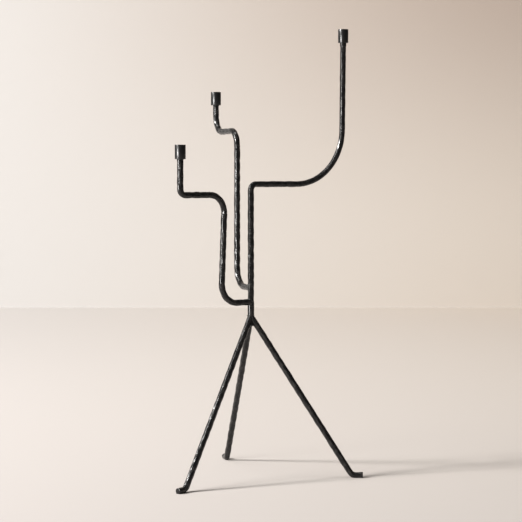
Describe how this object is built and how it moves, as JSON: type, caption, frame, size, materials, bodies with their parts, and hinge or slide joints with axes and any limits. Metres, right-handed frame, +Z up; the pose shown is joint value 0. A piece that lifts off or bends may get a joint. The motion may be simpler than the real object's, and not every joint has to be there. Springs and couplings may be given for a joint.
{
  "type": "candelabra",
  "caption": "Forged round-bar iron candelabra: splayed tripod with turned-out feet, one column, and S-bent arms at different heights, each ending in a plain tubular taper cup.",
  "frame": {"origin": "middle of the underside of the whole candelabra's bounding box, on the floor between the feet", "axes": "+Z up; +X along the right leg's side, within 2 degrees; +Y towards the back leg's side"},
  "size_m": [0.4332, 0.467, 1.0593],
  "materials": {
    "blackened_iron": "satin black over hand-hammered round bar, mottled forge scale, worn lighter on the facet edges",
    "cup_tube": "smooth satin black, drawn tube with faint lengthwise lines",
    "cup_floor": "satin black, lightly sooted",
    "weld_metal": "satin black over dressed weld bead"
  },
  "bodies": {
    "root": {"column_and_tall_arm": "blackened_iron", "low_arm": "blackened_iron", "middle_arm": "blackened_iron", "right_leg": "blackened_iron", "back_leg": "blackened_iron", "front_leg": "blackened_iron", "tall_cup_sleeve": "cup_tube", "middle_cup_sleeve": "cup_tube", "low_cup_sleeve": "cup_tube", "tall_cup_floor": "cup_floor", "middle_cup_floor": "cup_floor", "low_cup_floor": "cup_floor", "tripod_weld": "weld_metal", "low_arm_weld": "weld_metal", "middle_arm_weld": "weld_metal", "tall_cup_weld": "weld_metal", "middle_cup_weld": "weld_metal", "low_cup_weld": "weld_metal"}
  },
  "joints": []
}
